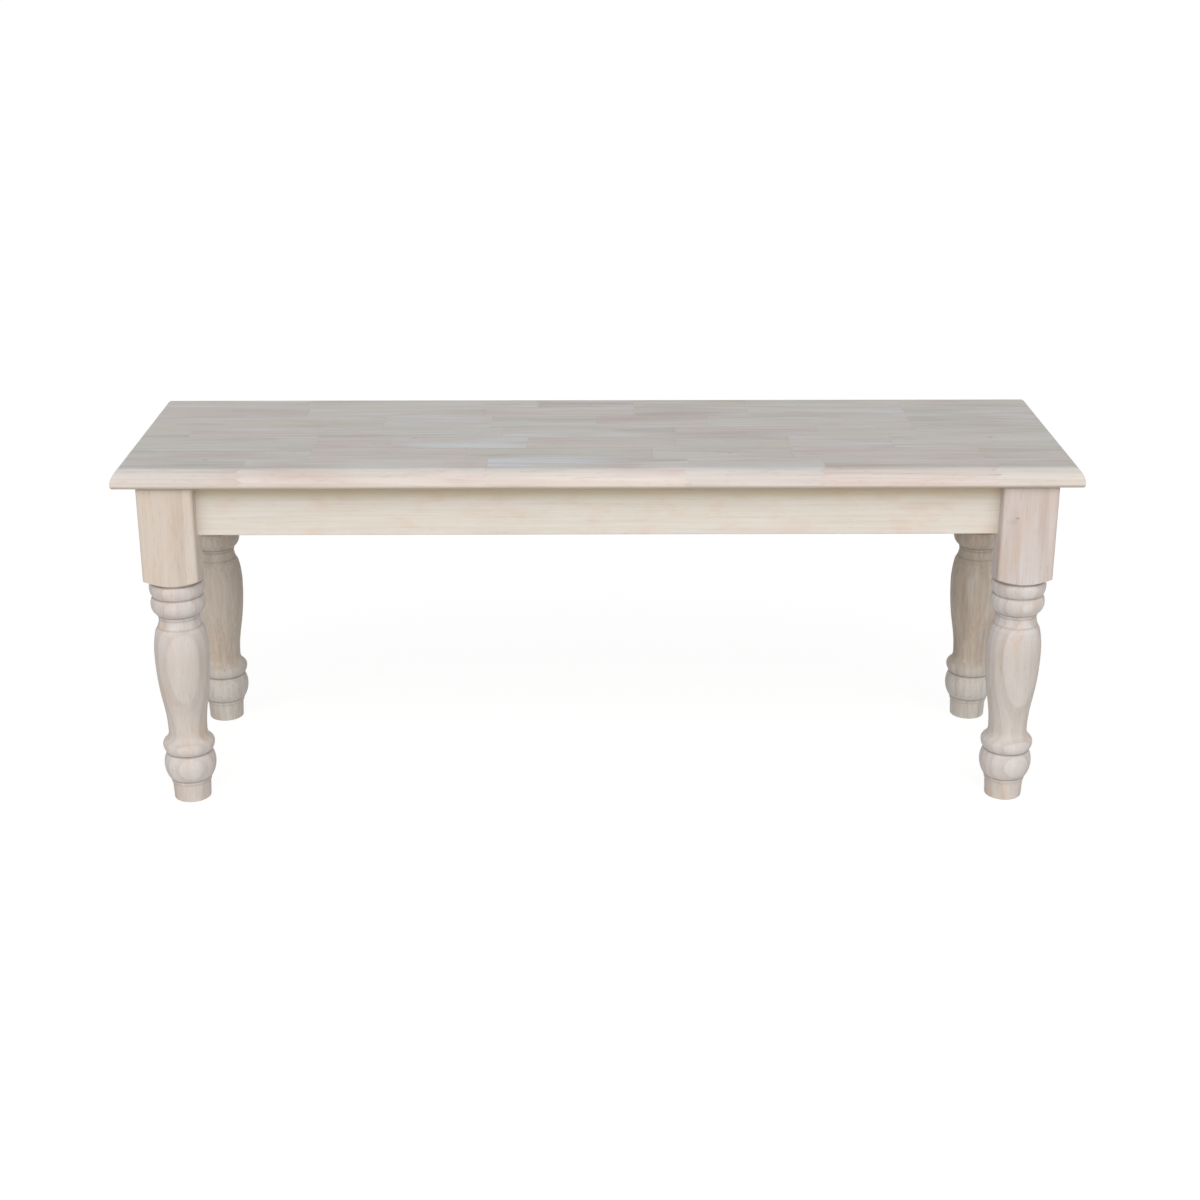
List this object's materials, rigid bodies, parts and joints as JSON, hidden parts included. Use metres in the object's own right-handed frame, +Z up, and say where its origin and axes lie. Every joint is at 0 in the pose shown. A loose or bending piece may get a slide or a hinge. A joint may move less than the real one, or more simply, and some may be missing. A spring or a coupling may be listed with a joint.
{
  "type": "dining bench",
  "caption": "Long backless wooden dining bench with an edge-glued rounded seat, a plain apron frame and turned legs with square upper blocks.",
  "frame": {"origin": "on the floor under the middle of the bench", "axes": "+X along the bench, -Y the front, +Z up"},
  "size_m": [1.21, 0.353, 0.4635],
  "materials": {
    "seat_wood": "whitewashed, matt",
    "frame_wood": "whitewashed, matt",
    "leg_wood": "whitewashed, matt",
    "inner_wood": "bare, planed",
    "zinc_steel": "zinc plated"
  },
  "bodies": {
    "root": {"seat_stave_1": "seat_wood", "seat_stave_2": "seat_wood", "seat_stave_3": "seat_wood", "seat_stave_4": "seat_wood", "seat_stave_5": "seat_wood", "seat_stave_6": "seat_wood", "seat_stave_7": "seat_wood", "front_apron": "frame_wood", "rear_apron": "frame_wood", "left_apron": "frame_wood", "right_apron": "frame_wood", "leg_front_left": "leg_wood", "leg_front_right": "leg_wood", "leg_rear_right": "leg_wood", "leg_rear_left": "leg_wood", "corner_block_front_left": "inner_wood", "corner_block_front_right": "inner_wood", "corner_block_rear_right": "inner_wood", "corner_block_rear_left": "inner_wood", "front_cleat": "inner_wood", "rear_cleat": "inner_wood", "hanger_bolts": "zinc_steel", "washers": "zinc_steel", "nuts": "zinc_steel", "corner_block_screws": "zinc_steel", "cleat_screws": "zinc_steel", "seat_screws": "zinc_steel"}
  },
  "joints": []
}
